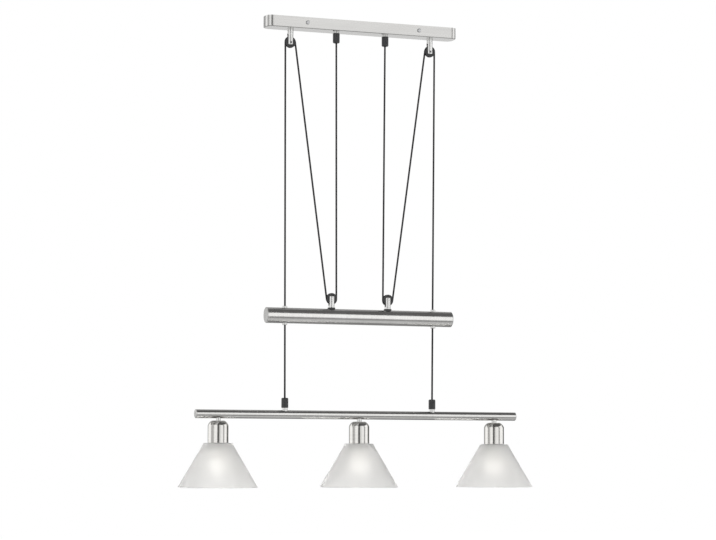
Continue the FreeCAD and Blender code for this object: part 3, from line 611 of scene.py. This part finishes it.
def studio_piece(name, vertices, faces, material):
    """Piece that belongs to the studio, not to the pendant."""
    mesh = bpy.data.meshes.new(name)
    mesh.from_pydata(vertices, [], faces)
    mesh.materials.append(material)
    piece = new_object(name, mesh)
    return piece


def floor_paint():
    """Pale paint, which to the eye also glows, so that the floor fades into white."""
    material, tree = new_material("studio_floor")
    grain = noise(tree, thrice(3))
    pale = blend_colours(tree, grain, dark=thrice(0.80), light=thrice(0.84))
    paint = add(tree, "BsdfDiffuse", {"Color": pale}).outputs[0]
    glow = add(tree, "Emission", {"Color": white, "Strength": floor_glow}).outputs[0]
    glowing = add(tree, "AddShader", {0: paint, 1: glow}).outputs[0]
    inputs = {"Fac": shown_to_eye(tree), 1: paint, 2: glowing}
    end_in(tree, add(tree, "MixShader", inputs).outputs[0])
    return material


def make_floor():
    """Floor far below the lamp, which keeps the lamp's soft shadow."""
    half = floor_size / 2
    corners = [(-half, -half, 0), (half, -half, 0), (half, half, 0), (-half, half, 0)]
    floor = studio_piece("studio_floor", corners, [(0, 1, 2, 3)], floor_paint())
    floor.location = (0, 0, floor_height)


def area_light(name, place, width, height, watts):
    data = bpy.data.lights.new(name, "AREA")
    data.shape = "RECTANGLE"
    data.size = width
    data.size_y = height
    data.energy = watts
    light = new_object(name, data)
    light.location = place
    light.rotation_mode = "QUATERNION"
    light.rotation_quaternion = (lights_aim_at - Vector(place)).to_track_quat("-Z", "Y")
    light.visible_camera = False
    light.visible_glossy = False


# ---- drum, which only polished pieces show ------------------------------------------------------

# It stands round the lamp. Each piece has a name, where it starts and ends, and a grey. For the
# strips of the wall and the wedges of the ceiling these are degrees round the lamp, counted from
# the camera to its right, and for the bands of the floor they are places along Y.
drum_radius = 3.2
drum_top = 1.3
drum_bottom = -2.39
skirting_top = -1.7
skirting_grey = 0.34
weave_contrast = 0.05
degrees_a_panel = 4
drum_strips = (
    ("back", -190, -170, 0.82),
    ("left_back", -170, -128, 0.50),
    ("left_window", -128, -80, 1.30),
    ("left_screen", -80, -46, 0.62),
    ("left_front", -46, -11, 1.22),
    ("camera_side", -11, 11, 0.14),
    ("right_front", 11, 28, 0.95),
    ("right_screen", 28, 57, 1.18),
    ("right_gap", 57, 71, 0.40),
    ("right_window", 71, 119, 1.30),
    ("right_curtain", 119, 150, 0.08),
    ("right_back", 150, 170, 0.90),
)
ceiling_wedges = (
    ("ceiling_camera_side", -11, 11, 0.05),
    ("ceiling_right", 11, 140, 0.13),
    ("ceiling_right_back", 140, 180, 0.36),
    ("ceiling_left_back", -180, -134, 0.25),
    ("ceiling_left_window", -134, -80, 0.60),
    ("ceiling_left_screen", -80, -46, 0.20),
    ("ceiling_left_front", -46, -11, 0.60),
)
floor_bands = (
    ("underfoot_front", -3.2, -1.6, 0.34),
    ("underfoot_middle", -1.6, 0.15, 0.62),
    ("underfoot_back", 0.15, 3.2, 0.26),
)


def flag_cloth(name, grey):
    """Cloth of a studio flag, which shines in a grey with a faint weave."""
    material, tree = new_material(name)
    weave = noise(tree, thrice(40))
    dark = thrice(grey * (1 - weave_contrast))
    light = thrice(grey * (1 + weave_contrast))
    woven = blend_colours(tree, weave, dark, light)
    end_in(tree, add(tree, "Emission", {"Color": woven, "Strength": 1.0}).outputs[0])
    return material


def drum_piece(name, vertices, faces, grey):
    piece = studio_piece(name, vertices, faces, flag_cloth(name, grey))
    piece.visible_camera = False
    piece.visible_diffuse = False
    piece.visible_transmission = False
    piece.visible_shadow = False


def on_drum(degrees, height):
    angle = camera_heading + math.pi - math.radians(degrees)
    return (drum_radius * math.sin(angle), drum_radius * math.cos(angle), height)


def drum_edge(first, last, height):
    steps = (last - first) // degrees_a_panel
    return [on_drum(first + (last - first) * i / steps, height) for i in range(steps + 1)]


def drum_wall(name, first, last, bottom, top, grey):
    low = drum_edge(first, last, bottom)
    high = drum_edge(first, last, top)
    many = len(low)
    faces = [(i, i + 1, i + 1 + many, i + many) for i in range(many - 1)]
    drum_piece(name, low + high, faces, grey)


def make_drum():
    for name, first, last, grey in drum_strips:
        drum_wall(name, first, last, skirting_top, drum_top, grey)
    drum_wall("skirting", -180, 180, drum_bottom, skirting_top, skirting_grey)
    for name, first, last, grey in ceiling_wedges:
        vertices = [(0, 0, drum_top)] + drum_edge(first, last, drum_top)
        drum_piece(name, vertices, [tuple(range(len(vertices)))], grey)
    for name, front, back, grey in floor_bands:
        vertices = [
            (-drum_radius, front, drum_bottom),
            (drum_radius, front, drum_bottom),
            (drum_radius, back, drum_bottom),
            (-drum_radius, back, drum_bottom),
        ]
        drum_piece(name, vertices, [(0, 1, 2, 3)], grey)


# ---- all together -------------------------------------------------------------------------------

make_camera()
make_cords()
dress_cad()
make_world()
make_floor()
make_drum()
for light_values in studio_lights:
    area_light(*light_values)

bpy.context.scene.view_settings.view_transform = "Standard"
